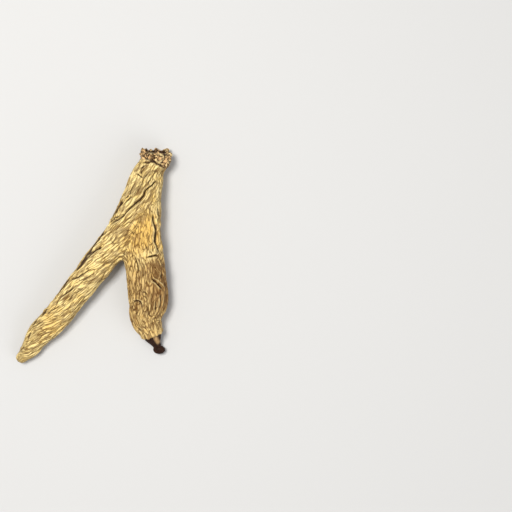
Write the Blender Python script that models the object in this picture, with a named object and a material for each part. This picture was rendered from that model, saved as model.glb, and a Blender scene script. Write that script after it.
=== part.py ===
"""A forked, dried ginseng root lying on a flat surface, as one solid.

Metres, +Z up. The crown points to +Y and the two legs to -Y. The origin is under the middle of the
root's bounding box, on the surface that it lies on. Lengths in the tables below are in millimetres.
"""

import itertools
import math

import bmesh
import bpy
import numpy as np
from mathutils import Matrix, Vector

MM = 0.001

# Each station down the root: x, y, height of the axis, half width, half height.
LONG_AXIS = (
    (25.9, 43.0, 7.7, 6.7, 5.5),
    (25.6, 41.0, 7.3, 7.0, 5.9),
    (24.4, 37.8, 7.6, 5.8, 5.3),
    (23.1, 34.8, 8.0, 6.5, 6.0),
    (21.6, 30.0, 8.7, 7.4, 6.9),
    (19.4, 22.0, 9.4, 8.2, 7.6),
    (14.2, 12.2, 9.6, 7.7, 7.2),
    (7.7, 3.9, 9.2, 7.0, 6.5),
    (1.9, -3.3, 8.6, 6.5, 6.0),
    (-5.7, -12.8, 7.8, 6.1, 5.7),
    (-11.8, -20.7, 6.9, 5.9, 5.5),
    (-17.5, -27.3, 5.9, 5.9, 5.3),
    (-23.2, -32.9, 4.8, 5.3, 4.7),
    (-27.2, -38.6, 4.0, 4.2, 3.6),
    (-29.5, -41.3, 3.6, 3.3, 3.0),
    (-31.1, -43.0, 3.4, 2.6, 2.4),
)
SHORT_AXIS = (
    (21.8, 29.0, 8.6, 5.6, 5.4),
    (21.6, 20.6, 9.2, 6.8, 6.6),
    (21.0, 10.7, 9.3, 7.2, 6.9),
    (20.9, 1.5, 9.2, 8.0, 7.2),
    (21.7, -7.0, 8.9, 8.4, 7.4),
    (22.6, -14.5, 8.4, 8.5, 7.3),
    (22.6, -20.0, 7.7, 8.5, 7.2),
    (21.9, -24.6, 6.9, 7.6, 6.6),
    (22.2, -28.0, 6.4, 6.7, 5.7),
    (23.3, -30.8, 6.1, 5.5, 4.9),
    (23.9, -32.4, 5.8, 4.8, 4.6),
)
WEB_AXIS = (
    (20.0, 20.0, 9.3, 4.0, 6.4),
    (17.2, 10.5, 9.3, 5.4, 6.3),
    (13.8, 2.6, 9.0, 5.6, 5.9),
    (11.6, -1.6, 8.8, 2.6, 3.6),
)
STUB_AXIS = (
    (23.9, -30.6, 6.0, 3.8, 3.2),
    (24.2, -33.4, 5.6, 3.9, 3.0),
    (24.9, -35.3, 4.9, 3.3, 2.5),
    (25.5, -36.8, 4.3, 2.4, 1.9),
    (26.2, -38.4, 3.7, 1.7, 1.4),
    (27.0, -39.9, 3.2, 1.5, 1.2),
)
# Lumps at the ends: place, radius, stretch.
STUB_KNOB = ((27.0, -40.1, 3.15), 1.95, (1.4, 1.0, 0.95))
TIP_KNOB = ((-31.4, -43.2, 3.3), 2.6, (1.0, 1.0, 0.95))

# Rings past the last station of an end that dried hollow: distance along, share of its radius.
CROWN_END = ((0.5, 1.0), (1.0, 0.86), (0.9, 0.72), (-0.2, 0.58), (-1.6, 0.34))
LIP_END = ((0.9, 1.04), (1.6, 0.92), (1.7, 0.70), (0.8, 0.50), (-0.8, 0.28))

# Rings of knobs round an end: how many, their share of the section, the least and greatest radius.
COLLAR_RING = (15, 0.88, 1.1, 1.7)
RIM_RING = (11, 0.84, 0.9, 1.3)
LIP_RING = (9, 0.88, 0.7, 1.1)
# How unevenly the knobs stand: share of the gap between two, share of their reach, distance along.
KNOB_TURN = 0.3
KNOB_REACH = (0.92, 1.06)
KNOB_SHIFT = 0.9

# Folds seen from above, as lines of x, y. Each with the depth and the half width of its furrow.
FOLDS = (
    (1.2, 0.5, ((27.7, 31.4), (25.7, 30.1), (23.7, 28.2), (22.5, 26.7), (21.9, 25.3), (20.7, 23.6),
                (19.0, 22.1), (16.8, 20.5), (15.6, 19.5), (14.0, 17.8), (12.1, 16.0), (10.4, 15.0),
                (8.8, 14.0), (7.3, 12.7))),
    (1.2, 0.55, ((17.2, 25.2), (15.5, 23.8), (13.7, 22.3), (11.6, 20.5))),
    (0.9, 0.5, ((15.2, 25.7), (13.7, 24.0), (12.2, 22.3), (10.9, 20.3))),
    (0.8, 0.5, ((17.6, 30.9), (16.4, 28.5), (15.3, 26.3), (14.6, 24.2))),
    (0.9, 0.5, ((11.6, 17.3), (9.5, 16.0), (8.0, 14.7), (6.2, 13.3), (5.0, 12.0), (3.8, 10.4))),
    (0.9, 0.5, ((6.0, 10.2), (4.5, 9.1), (3.5, 8.1), (1.8, 6.2))),
    (1.2, 0.5, ((4.4, 4.0), (2.5, 3.0), (0.4, 2.0), (-1.4, -0.1), (-3.6, -2.3))),
    (1.3, 0.6, ((25.5, 17.2), (26.0, 14.0), (26.7, 9.9), (26.5, 6.4), (27.5, 3.3), (28.5, 1.2))),
    (0.9, 0.5, ((27.3, 20.6), (27.5, 16.8), (27.6, 13.1), (28.0, 9.4), (28.3, 6.5))),
    (0.8, 0.5, ((22.4, 38.6), (21.2, 37.5), (20.0, 36.0))),
    (0.8, 0.5, ((21.3, 36.6), (20.5, 35.1), (19.9, 33.4))),
    (0.9, 0.5, ((17.5, 33.8), (18.8, 34.0), (20.3, 33.0), (21.8, 32.3))),
    (0.8, 0.5, ((19.7, 37.5), (18.7, 36.0), (17.9, 34.7))),
    (0.9, 0.5, ((19.8, 39.5), (22.7, 39.1), (25.6, 39.3), (26.9, 38.3), (28.5, 37.5), (30.2, 36.8))),
    (0.9, 0.5, ((-0.9, -5.6), (-2.4, -6.7), (-4.3, -7.7), (-6.3, -9.0), (-8.5, -9.9), (-9.9, -11.3))),
    (0.8, 0.5, ((-7.5, -12.7), (-9.1, -14.0), (-12.0, -16.1), (-14.2, -18.2), (-16.3, -21.0))),
    (1.0, 0.5, ((-14.7, -16.5), (-16.9, -18.8), (-19.1, -21.0), (-21.2, -23.9), (-23.2, -26.2))),
    (0.9, 0.5, ((-26.3, -31.8), (-27.1, -33.0), (-27.8, -34.5), (-28.6, -36.0))),
    (1.1, 0.5, ((-30.6, -39.3), (-31.6, -40.2), (-33.0, -41.3), (-33.6, -42.4))),
    (0.9, 0.5, ((-6.6, -2.7), (-8.4, -4.6), (-10.1, -6.7), (-11.8, -9.0))),
    (0.8, 0.5, ((17.1, -0.0), (18.2, -1.9), (18.8, -3.5), (19.1, -5.2), (19.2, -7.0))),
    (1.3, 0.5, ((22.3, -0.9), (23.8, -0.6), (25.4, -0.2), (26.9, 0.0), (28.3, -0.6))),
    (1.3, 0.5, ((24.4, -9.1), (25.8, -10.4), (27.4, -11.8), (28.9, -13.3), (29.7, -14.2))),
    (0.9, 0.5, ((16.3, -20.4), (17.1, -19.4), (18.4, -19.0), (19.8, -19.4), (20.4, -20.8),
                (20.2, -22.2))),
    (0.8, 0.5, ((17.5, -21.7), (18.0, -20.7), (19.0, -20.5))),
    (0.8, 0.5, ((16.9, -24.3), (18.3, -24.1), (19.6, -23.3))),
    (0.8, 0.5, ((27.1, -18.1), (26.8, -20.1), (26.6, -22.4), (27.0, -24.4))),
    (0.8, 0.5, ((29.1, -6.0), (28.8, -8.1), (29.3, -10.2))),
    (0.8, 0.5, ((28.9, -15.2), (28.5, -17.7), (28.7, -20.2), (28.3, -22.7))),
    (0.9, 0.5, ((18.4, -29.7), (19.5, -31.4), (20.7, -32.5))),
    (0.8, 0.5, ((22.6, -32.6), (23.5, -31.8), (24.8, -31.4), (26.0, -32.0))),
    (0.8, 0.5, ((27.1, -33.3), (27.1, -32.2), (28.0, -31.7), (28.8, -32.3))),
)
# A fold is shallower within this length of its ends, down to this share of its depth.
FOLD_FADE = 2.0
FOLD_END_SHARE = 0.35
# How far the skin must face up for a fold to reach it, from none to all of its depth.
FOLD_FACING = (-0.25, 0.1)

# Round scars seen from above: x, y, radius, depth and half width of the ring.
SCARS = ((18.1, -21.4, 2.0, 0.5, 0.45), (24.9, 41.0, 0.9, 1.3, 0.55))
# Pits seen from above: x, y, radius, depth.
PITS = ((-31.0, -44.0, 0.6, 0.5),)

# Wrinkles over an axis: size along it, size round it, depth, furrow's share of the wrinkle.
LONG_FURROWS = ((16.0, 3.3, 1.05, 0.42), (9.0, 2.2, 0.65, 0.48))
SHORT_FURROWS = ((12.0, 3.3, 0.95, 0.42), (6.0, 2.2, 0.65, 0.48))
FURROW_SHARPNESS = 1.3
# How far they wind round a limb for each unit down it.
LONG_TWIST = 0.22
SHORT_TWIST = 0.0
# Their share of the depth down a limb: distance, share.
LONG_GROWTH = ((0.0, 1.0),)
SHORT_GROWTH = ((16.0, 0.5), (31.0, 1.0), (55.0, 1.0), (60.0, 0.35))
# Wrinkles fade out and in again where a slower noise passes through this range. The size of its
# cells, as shares of the wrinkle's size along the axis and round it.
FURROW_FADE = (-0.7, 0.25)
FADE_SIZE = (0.7, 2.0)
# On a limb of this radius wrinkles keep their size. Elsewhere they close up or spread a little.
FURROW_RADIUS = 6.5
# Their waves: how far each goes, and its size.
WAVES = ((0.9, 11.0), (0.4, 3.4))
# Limbs thinner than the first radius have no wrinkles, and those over the second have them all.
THIN_LIMB = (1.0, 5.0)
SEAM_SHARPNESS = 16.0
SWELL_SIZE = 8.0
SWELL_HEIGHT = 0.55

# The craggy skin of the collar ends over this stretch of the axis.
COLLAR_END = (4.3, 5.7)
COLLAR_WRINKLES = 0.3
CRAG_SIZE = 2.1
CRAG_DEPTH = 1.3
CRAG_LEVEL = 0.3
# The stub's own skin is plain out to the first distance from its line.
STUB_REACH = (4.0, 5.4)

# The three low spots that the root lies on, and how much of each is pressed flat.
FEET = ((27.0, 41.0), (-21.0, -32.0), (22.9, -23.0))
FOOT_REACH = 7.0
FOOT_PRESS = 0.32

RING_SIDES = 24
STEPS_PER_GAP = 4
VOXEL = 0.35
SMOOTH_PASSES = 8
WEB_PASSES = 24
WEB_REACH = 8.5
EASE = 0.5
TRIANGLES = 11900
SEED = 11
TABLE_SIZE = 256

SKIN = (0.56, 0.38, 0.14, 1.0)
SKIN_ROUGHNESS = 0.72


def smooth_rows(rows, steps):
    """A Catmull-Rom curve through the rows, with this many points to each gap."""
    rows = np.array(rows, float)
    padded = np.vstack([2 * rows[0] - rows[1], rows, 2 * rows[-1] - rows[-2]])
    t = np.linspace(0.0, 1.0, steps, endpoint=False)[:, None]
    curve = [
        0.5 * (2 * b + (c - a) * t + (2 * a - 5 * b + 4 * c - d) * t**2 + (3 * b - a - 3 * c + d) * t**3)
        for a, b, c, d in zip(padded, padded[1:], padded[2:], padded[3:])
    ]
    return np.vstack(curve + [rows[-1:]])


def section(row, along):
    """The matrix that takes a unit circle to the root's section at one point of an axis."""
    side = along.cross(Vector((0, 0, 1))).normalized()
    up = side.cross(along)
    x, y, z, half_width, half_height = row
    matrix = Matrix((side * half_width, up * half_height, along)).transposed().to_4x4()
    matrix.translation = Vector((x, y, z))
    return matrix


def sections_of(axis, end=()):
    """A matrix for each ring of a tube, and for the rings of the hollow at its last end."""
    rows = smooth_rows(axis, STEPS_PER_GAP)
    ways = [Vector(way[:3]).normalized() for way in np.gradient(rows, axis=0)]
    matrices = [section(row, way) for row, way in zip(rows, ways)]
    for past, share in end:
        row = rows[-1].copy()
        row[:3] += past * np.array(ways[-1])
        row[3:] *= share
        matrices.append(section(row, ways[-1]))
    return matrices


def add_tube(bm, matrices):
    """A closed tube through rings at these matrices."""
    ring = bmesh.ops.create_circle(bm, segments=RING_SIDES, radius=1.0)["verts"]
    edges = list({edge for vert in ring for edge in vert.link_edges})
    bmesh.ops.transform(bm, matrix=matrices[0], verts=ring)
    bmesh.ops.contextual_create(bm, geom=edges)
    for last, matrix in zip(matrices, matrices[1:]):
        made = bmesh.ops.extrude_edge_only(bm, edges=edges)["geom"]
        ring = [item for item in made if isinstance(item, bmesh.types.BMVert)]
        edges = [item for item in made if isinstance(item, bmesh.types.BMEdge)]
        bmesh.ops.transform(bm, matrix=matrix @ last.inverted(), verts=ring)
    bmesh.ops.contextual_create(bm, geom=edges)


def add_knob(bm, place, radius, stretch=(1, 1, 1)):
    """A small round lump."""
    matrix = Matrix.Translation(place) @ Matrix.Diagonal((*stretch, 1))
    bmesh.ops.create_icosphere(bm, subdivisions=2, radius=radius, matrix=matrix)


def add_knob_ring(bm, matrix, ring, rng):
    """Lumps of uneven size round one section of the root."""
    count, share, small, large = ring
    along = matrix.to_3x3().col[2]
    for i in range(count):
        turn = 2 * math.pi * (i + rng.uniform(-KNOB_TURN, KNOB_TURN)) / count
        out = share * rng.uniform(*KNOB_REACH)
        shift = rng.uniform(-KNOB_SHIFT, KNOB_SHIFT)
        place = matrix @ Vector((out * math.cos(turn), out * math.sin(turn), 0)) + shift * along
        add_knob(bm, place, rng.uniform(small, large))


def rough_shape():
    """The root's limbs and lumps, each a closed mesh that overlaps the next."""
    rng = np.random.default_rng(SEED)
    bm = bmesh.new()
    crown = sections_of(LONG_AXIS[::-1], CROWN_END)
    short_leg = sections_of(SHORT_AXIS, LIP_END)
    for matrices in (crown, short_leg, sections_of(WEB_AXIS), sections_of(STUB_AXIS)):
        add_tube(bm, matrices)
    add_knob(bm, *STUB_KNOB)
    add_knob(bm, *TIP_KNOB)
    rim = len(crown) - len(CROWN_END)
    add_knob_ring(bm, crown[rim - STEPS_PER_GAP // 2], COLLAR_RING, rng)
    add_knob_ring(bm, crown[rim], RIM_RING, rng)
    add_knob_ring(bm, short_leg[-len(LIP_END)], LIP_RING, rng)
    bmesh.ops.recalc_face_normals(bm, faces=bm.faces)
    mesh = bpy.data.meshes.new("limbs")
    bm.to_mesh(mesh)
    bm.free()
    return mesh


def noise(places, seed):
    """Gradient noise at these places, about -1 to 1, with cells of size 1."""
    rng = np.random.default_rng(seed)
    table = rng.permutation(TABLE_SIZE)
    ways = rng.normal(size=(TABLE_SIZE, 3))
    ways /= np.linalg.norm(ways, axis=1)[:, None]
    cell = np.floor(places).astype(int)
    part = places - cell
    fade = part**3 * (part * (part * 6 - 15) + 10)
    total = np.zeros(len(places))
    for corner in itertools.product((0, 1), repeat=3):
        x, y, z = ((cell + corner) % TABLE_SIZE).T
        key = table[(table[(table[x] + y) % TABLE_SIZE] + z) % TABLE_SIZE]
        weight = np.where(corner, fade, 1 - fade).prod(axis=1)
        total += weight * (ways[key] * (part - corner)).sum(axis=1)
    return 1.5 * total


def eased(low, high, value):
    """0 below low, 1 above high and smooth between."""
    t = np.clip((value - low) / (high - low), 0, 1)
    return t * t * (3 - 2 * t)


def nearest(points, line):
    """For each point, the nearest place on a line of rows: its row, and its distance along."""
    starts, steps = line[:-1], np.diff(line, axis=0)
    size = points.shape[1]
    lengths = np.linalg.norm(steps[:, :size], axis=1)
    along = np.concatenate([[0.0], np.cumsum(lengths)])
    best = np.full(len(points), np.inf)
    rows = np.zeros((len(points), line.shape[1]))
    run = np.zeros(len(points))
    for start, step, length, before in zip(starts, steps, lengths, along):
        t = np.clip((points - start[:size]) @ step[:size] / length**2, 0, 1)[:, None]
        place = start + t * step
        gap = np.linalg.norm(points - place[:, :size], axis=1)
        closer = gap < best
        best[closer], rows[closer] = gap[closer], place[closer]
        run[closer] = before + t[closer, 0] * length
    return best, rows, run


def skin_place(points, axis):
    """Where the skin lies on a limb: the share of its radius, and its place along and round it."""
    rows = smooth_rows(axis, STEPS_PER_GAP)
    ways = np.gradient(rows[:, :3], axis=0)
    gap, near, run = nearest(points, np.hstack([rows, ways]))
    way = near[:, 5:] / np.linalg.norm(near[:, 5:], axis=1)[:, None]
    side = np.cross(way, (0.0, 0.0, 1.0))
    side /= np.linalg.norm(side, axis=1)[:, None]
    up = np.cross(side, way)
    off = points - near[:, :3]
    across, high = (off * side).sum(axis=1) / near[:, 3], (off * up).sum(axis=1) / near[:, 4]
    turn = np.arctan2(high, across)
    radius = np.sqrt(near[:, 3] * near[:, 4])
    return gap / radius, run, turn, radius


def unrolled(run, turn, width):
    """A place on a limb as a point on a straight cylinder."""
    return np.stack([run, width * np.cos(turn), width * np.sin(turn)], axis=1)


def furrows(run, turn, radius, layers, twist, growth, seed):
    """Depth of the wrinkles that run down a limb: narrow furrows that branch, wave and fade."""
    width = np.sqrt(radius * FURROW_RADIUS)
    wave = twist * run
    for number, (height, size) in enumerate(WAVES):
        wave += height * noise(unrolled(run, turn, width) / size, seed + number)
    places = unrolled(run, turn + wave / width, width)
    grown = np.interp(run, *np.transpose(growth))
    depth = np.zeros(len(run))
    for index, (length, size, deep, width_share) in enumerate(layers):
        value = noise(places / (length, size, size), seed + 10 + index)
        fade_length, fade_size = length * FADE_SIZE[0], size * FADE_SIZE[1]
        fade = noise(places / (fade_length, fade_size, fade_size), seed + 20 + index)
        furrow = np.clip(1 - np.abs(value) / width_share, 0, 1) ** FURROW_SHARPNESS
        depth += deep * grown * eased(*FURROW_FADE, fade) * furrow
    return depth


def dip(gap, width):
    """1 in the middle of a furrow or pit and 0 beside it."""
    return np.exp(-((gap / width) ** 2))


def fold_depth(points, normals):
    """Depth of the named folds, scars and pits, which lie on the upper side."""
    depth = np.zeros(len(points))
    for deep, width, line in FOLDS:
        line = smooth_rows(line, STEPS_PER_GAP)
        gap, _, run = nearest(points[:, :2], line)
        length = np.linalg.norm(np.diff(line, axis=0), axis=1).sum()
        fade = eased(0, FOLD_FADE, run) * eased(0, FOLD_FADE, length - run)
        share = FOLD_END_SHARE + (1 - FOLD_END_SHARE) * fade
        depth = np.maximum(depth, deep * share * dip(gap, width))
    for x, y, radius, deep, width in SCARS:
        depth = np.maximum(depth, deep * dip(np.hypot(points[:, 0] - x, points[:, 1] - y) - radius, width))
    for x, y, radius, deep in PITS:
        depth = np.maximum(depth, deep * dip(np.hypot(points[:, 0] - x, points[:, 1] - y), radius))
    return depth * eased(*FOLD_FACING, normals[:, 2])


def relief(points, normals):
    """How far the skin stands out at each point: swellings, wrinkles, folds and the craggy collar."""
    long_share, *long_place = skin_place(points, LONG_AXIS)
    short_share, *short_place = skin_place(points, SHORT_AXIS)
    long_pull = 1 / (1 + np.exp(SEAM_SHARPNESS * (long_share - short_share)))
    wrinkles = long_pull * furrows(*long_place, LONG_FURROWS, LONG_TWIST, LONG_GROWTH, SEED)
    short_wrinkles = furrows(*short_place, SHORT_FURROWS, SHORT_TWIST, SHORT_GROWTH, SEED + 100)
    wrinkles += (1 - long_pull) * short_wrinkles
    collar = 1 - eased(*COLLAR_END, long_place[0])
    wrinkles *= 1 + (COLLAR_WRINKLES - 1) * collar
    crag = np.abs(noise(points / CRAG_SIZE, SEED + 200)) - CRAG_LEVEL
    swell = SWELL_HEIGHT * noise(points / SWELL_SIZE, SEED + 300)
    out = swell + CRAG_DEPTH * crag * collar - np.maximum(wrinkles, fold_depth(points, normals))
    stub_line = np.array([row[:3] for row in STUB_AXIS] + [STUB_KNOB[0]])
    radius = long_pull * long_place[2] + (1 - long_pull) * short_place[2]
    return out * eased(*THIN_LIMB, radius) * eased(*STUB_REACH, nearest(points, stub_line)[0])


def evaluated(obj):
    """The object's mesh with its modifiers applied."""
    graph = bpy.context.evaluated_depsgraph_get()
    mesh = bpy.data.meshes.new_from_object(obj.evaluated_get(graph))
    obj.modifiers.clear()
    obj.data = mesh
    return mesh


def read_vectors(items, name):
    """A vector property of every item of a mesh, as rows."""
    values = np.empty(len(items) * 3)
    items.foreach_get(name, values)
    return values.reshape(-1, 3)


def soften_web(mesh):
    """Smooths the skin over the fork, where the limbs grow together."""
    points = read_vectors(mesh.vertices, "co")
    web = nearest(points, smooth_rows(WEB_AXIS, STEPS_PER_GAP))[0]
    bm = bmesh.new()
    bm.from_mesh(mesh)
    bm.verts.ensure_lookup_table()
    inside = [bm.verts[i] for i in np.flatnonzero(web < WEB_REACH)]
    for _ in range(WEB_PASSES):
        bmesh.ops.smooth_vert(bm, verts=inside, factor=0.5, use_axis_x=True, use_axis_y=True, use_axis_z=True)
    bm.to_mesh(mesh)
    bm.free()


def carve(mesh):
    """Moves the skin in and out by the relief."""
    points, normals = read_vectors(mesh.vertices, "co"), read_vectors(mesh.vertices, "normal")
    points += normals * relief(points, normals)[:, None]
    mesh.vertices.foreach_set("co", points.ravel())
    mesh.update()


def settle(mesh):
    """Lays the root on its three low spots, presses them flat, centres it and scales it to metres."""
    points = read_vectors(mesh.vertices, "co")
    lows = []
    for foot in FEET:
        inside = points[np.hypot(*(points[:, :2] - foot).T) < FOOT_REACH]
        lows.append(inside[inside[:, 2].argmin()])
    lows = np.array(lows)
    slope = np.linalg.solve(np.hstack([lows[:, :2], np.ones((3, 1))]), lows[:, 2])
    points[:, 2] -= points[:, :2] @ slope[:2] + slope[2] + FOOT_PRESS
    points[:, 2] = np.maximum(points[:, 2], 0.0)
    middle = (points.min(axis=0) + points.max(axis=0)) / 2
    points[:, :2] -= middle[:2]
    mesh.vertices.foreach_set("co", (points * MM).ravel())
    mesh.update()


def skin_material():
    """Pale dried skin."""
    material = bpy.data.materials.new("dried_root_skin")
    material.use_nodes = True
    shader = material.node_tree.nodes["Principled BSDF"]
    shader.inputs["Base Color"].default_value = SKIN
    shader.inputs["Roughness"].default_value = SKIN_ROUGHNESS
    shader.inputs["Metallic"].default_value = 0.0
    return material


def build_root():
    """The whole root, as one named solid."""
    root = bpy.data.objects.new("ginseng_root", rough_shape())
    bpy.context.scene.collection.objects.link(root)
    fuse = root.modifiers.new("fuse", "REMESH")
    fuse.mode = "VOXEL"
    fuse.voxel_size = VOXEL
    smooth = root.modifiers.new("smooth", "SMOOTH")
    smooth.factor = 0.5
    smooth.iterations = SMOOTH_PASSES
    soften_web(evaluated(root))
    carve(root.data)
    ease = root.modifiers.new("ease", "SMOOTH")
    ease.factor = EASE
    thin = root.modifiers.new("thin", "DECIMATE")
    thin.ratio = TRIANGLES / (2 * len(root.data.polygons))
    settle(evaluated(root))
    root.data.shade_smooth()
    root.data.materials.append(skin_material())
    return root


def main():
    for obj in list(bpy.data.objects):
        bpy.data.objects.remove(obj)
    build_root()


main()
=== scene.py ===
"""The looks of a forked, dried ginseng root that lies on a plain pale floor, seen from straight above.

The root is one piece of skin. Its limbs are turned as rough tubes, grown together, and then carved
with the folds and wrinkles of dried skin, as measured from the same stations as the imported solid.
Lengths in the tables are in millimetres. The finished mesh is in metres, in the frame's own place.
"""

from __future__ import annotations

import itertools
import logging
import math
from dataclasses import dataclass, field
from enum import Enum

import bmesh
import bpy
import numpy as np
from bmesh.types import BMesh, BMEdge, BMVert
from bpy.types import Material, Mesh, Node, NodeTree, Object
from mathutils import Matrix, Vector

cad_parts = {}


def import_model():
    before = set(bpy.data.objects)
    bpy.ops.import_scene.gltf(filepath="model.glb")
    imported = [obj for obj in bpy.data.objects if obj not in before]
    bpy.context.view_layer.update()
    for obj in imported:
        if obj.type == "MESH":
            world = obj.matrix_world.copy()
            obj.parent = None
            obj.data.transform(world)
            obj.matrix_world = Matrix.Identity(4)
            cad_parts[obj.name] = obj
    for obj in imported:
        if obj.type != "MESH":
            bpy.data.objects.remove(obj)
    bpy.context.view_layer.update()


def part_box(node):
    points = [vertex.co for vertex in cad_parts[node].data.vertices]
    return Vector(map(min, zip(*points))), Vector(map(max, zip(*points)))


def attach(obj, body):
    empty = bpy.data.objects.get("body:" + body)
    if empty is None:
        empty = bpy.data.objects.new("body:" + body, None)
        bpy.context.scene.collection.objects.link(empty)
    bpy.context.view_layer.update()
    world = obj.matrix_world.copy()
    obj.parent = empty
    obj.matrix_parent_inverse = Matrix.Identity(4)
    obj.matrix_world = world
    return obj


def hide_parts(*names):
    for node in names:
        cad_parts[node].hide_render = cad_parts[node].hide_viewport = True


log = logging.getLogger("ginseng_root")

MM = 0.001
NODE = "ginseng_root"
BODY = "root"
SEED = 11
CRAG_SEED = SEED + 200
SWELL_SEED = SEED + 300
WARP_SEEDS = (SEED + 400, SEED + 401)
NOISE_TABLE = 256
NOISE_HEIGHT = 1.5
NOISE_MIDDLE = 0.5
STEPS_PER_GAP = 4
SMOOTHING = 0.5
LINE_CORE = 0.3

Array = np.ndarray
Pair = tuple[float, float]
Triple = tuple[float, float, float]
Span = tuple[float, float, float, float]
Rows = tuple[tuple[float, ...], ...]
Colour = tuple[float, float, float, float]
Socket = bpy.types.NodeSocket
Feed = Socket | float | tuple[float, ...]


class Mask(Enum):
    """What the carving writes on the skin, point by point, for the finish to read.

    The three wrinkle values pass through 0 along the floor of a furrow, where the finish paints a line of
    painted shade. The fold shade is painted shade, 1 on the floor of a deep fold, and less than 0 on
    its lips, where it is a painted highlight.
    """

    WRINKLES = "wrinkles"
    # Also sets how much less pale cream goes in the furrows, as painted shade.
    FURROW = "furrow"
    # Painted shade on the floors of folds and scars, and a painted highlight on fold lips.
    FOLD_SHADE = "fold"
    # Also puts painted shade in the collar's sunken pits.
    CRAG = "crag"
    COLLAR = "collar"
    # Dark on the stub; on its neck that dark is painted shadow.
    STUB = "stub"
    # A painted highlight down the right of the stub's neck.
    HIGHLIGHT_STRIP = "highlight_strip"
    # Painted shade inside the two hollow ends.
    HOLLOW_SHADE = "hollow"
    SHORT = "short"
    # Orange patches, and dull ones, which are painted shade on the short leg's right flank.
    WARM_AND_SHADE = "warm_and_shade"
    PLACE = "place"


def smooth_rows(rows: Rows, steps: int = STEPS_PER_GAP) -> Array:
    """Draw a Catmull-Rom curve through rows of numbers.

    Args:
        rows: The rows that the curve passes through.
        steps: Points to each gap between rows.

    Returns:
        The curve, one row a point.
    """
    table = np.array(rows, float)
    padded = np.vstack([2 * table[0] - table[1], table, 2 * table[-1] - table[-2]])
    t = np.linspace(0.0, 1.0, steps, endpoint=False)[:, None]
    curve = []
    for a, b, c, d in zip(padded, padded[1:], padded[2:], padded[3:]):
        bend = (2 * a - 5 * b + 4 * c - d) * t**2 + (3 * b - a - 3 * c + d) * t**3
        curve.append(0.5 * (2 * b + (c - a) * t + bend))
    return np.vstack(curve + [table[-1:]])


def eased(low: float, high: float, value: Array) -> Array:
    """Rise smoothly from 0 at low to 1 at high."""
    t = np.clip((value - low) / (high - low), 0, 1)
    return t * t * (3 - 2 * t)


def dip(gap: Array, width: float) -> Array:
    """Give 1 in the middle of a furrow or pit and fall to 0 beside it."""
    return np.exp(-((gap / width) ** 2))


def noise(places: Array, seed: int) -> Array:
    """Measure gradient noise, about -1 to 1, with cells of size 1.

    Args:
        places: Points, one a row.
        seed: Which noise it is.

    Returns:
        One value a point.
    """
    rng = np.random.default_rng(seed)
    table = rng.permutation(NOISE_TABLE)
    ways = rng.normal(size=(NOISE_TABLE, 3))
    ways /= np.linalg.norm(ways, axis=1)[:, None]
    cell = np.floor(places).astype(int)
    part = places - cell
    fade = part**3 * (part * (part * 6 - 15) + 10)
    total = np.zeros(len(places))
    for corner in itertools.product((0, 1), repeat=3):
        x, y, z = ((cell + corner) % NOISE_TABLE).T
        key = table[(table[(table[x] + y) % NOISE_TABLE] + z) % NOISE_TABLE]
        weight = np.where(corner, fade, 1 - fade).prod(axis=1)
        total += weight * (ways[key] * (part - corner)).sum(axis=1)
    return NOISE_HEIGHT * total


def nearest(points: Array, line: Array) -> tuple[Array, Array, Array]:
    """Find the nearest place on a line for each point.

    Args:
        points: Points in two or three dimensions.
        line: Rows that start with a point of the line, and may hold more values.

    Returns:
        The distance, the line's own row there and the distance along the line.
    """
    size = points.shape[1]
    steps = np.diff(line, axis=0)
    lengths = np.linalg.norm(steps[:, :size], axis=1)
    before = np.concatenate([[0.0], np.cumsum(lengths)])
    best = np.full(len(points), np.inf)
    rows = np.zeros((len(points), line.shape[1]))
    run = np.zeros(len(points))
    for start, step, length, past in zip(line, steps, lengths, before):
        t = np.clip((points - start[:size]) @ step[:size] / length**2, 0, 1)[:, None]
        place = start + t * step
        gap = np.linalg.norm(points - place[:, :size], axis=1)
        closer = gap < best
        best[closer] = gap[closer]
        rows[closer] = place[closer]
        run[closer] = past + t[closer, 0] * length
    return best, rows, run


def add_object(name: str, data: bpy.types.ID) -> Object:
    """Add an object to the scene.

    Args:
        name: Its name.
        data: Its mesh, lamp or camera.

    Returns:
        The object.
    """
    added = bpy.data.objects.new(name, data)
    bpy.context.scene.collection.objects.link(added)
    return added


def finished_mesh(name: str, bm: BMesh) -> Mesh:
    """Make a mesh of what was modelled.

    Args:
        name: The mesh's name.
        bm: What was modelled. It is freed.

    Returns:
        The mesh.
    """
    mesh = bpy.data.meshes.new(name)
    bm.to_mesh(mesh)
    bm.free()
    return mesh


def modify(shown: Object, kind: str, **settings: object) -> None:
    """Change an object's mesh by a modifier.

    Args:
        shown: The object.
        kind: The modifier's type.
        settings: Its settings.
    """
    modifier = shown.modifiers.new(kind, kind)
    for name, value in settings.items():
        setattr(modifier, name, value)
    graph = bpy.context.evaluated_depsgraph_get()
    shown.data = bpy.data.meshes.new_from_object(shown.evaluated_get(graph))
    shown.modifiers.clear()


@dataclass(frozen=True)
class Wrinkle:
    """One layer of wrinkles that run down a limb.

    Attributes:
        length: Size of the pattern along the limb.
        size: Size of the pattern round the limb.
        depth: Depth of its furrows.
        share: How much of each wrinkle is furrow.
    """

    length: float
    size: float
    depth: float
    share: float


@dataclass(frozen=True)
class Skin:
    """Where points of the skin lie on a limb.

    Attributes:
        share: Distance from the axis, as a share of the limb's radius.
        run: Distance down the axis.
        turn: Angle round the axis.
        radius: The limb's radius there.
    """

    share: Array
    run: Array
    turn: Array
    radius: Array

    def unrolled(self, width: Array, wave: Array | float = 0.0) -> Array:
        """Lay the skin on a cylinder of that radius along X, turned round it by the wave."""
        turn = self.turn + wave / width
        return np.stack([self.run, width * np.cos(turn), width * np.sin(turn)], axis=1)


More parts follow.
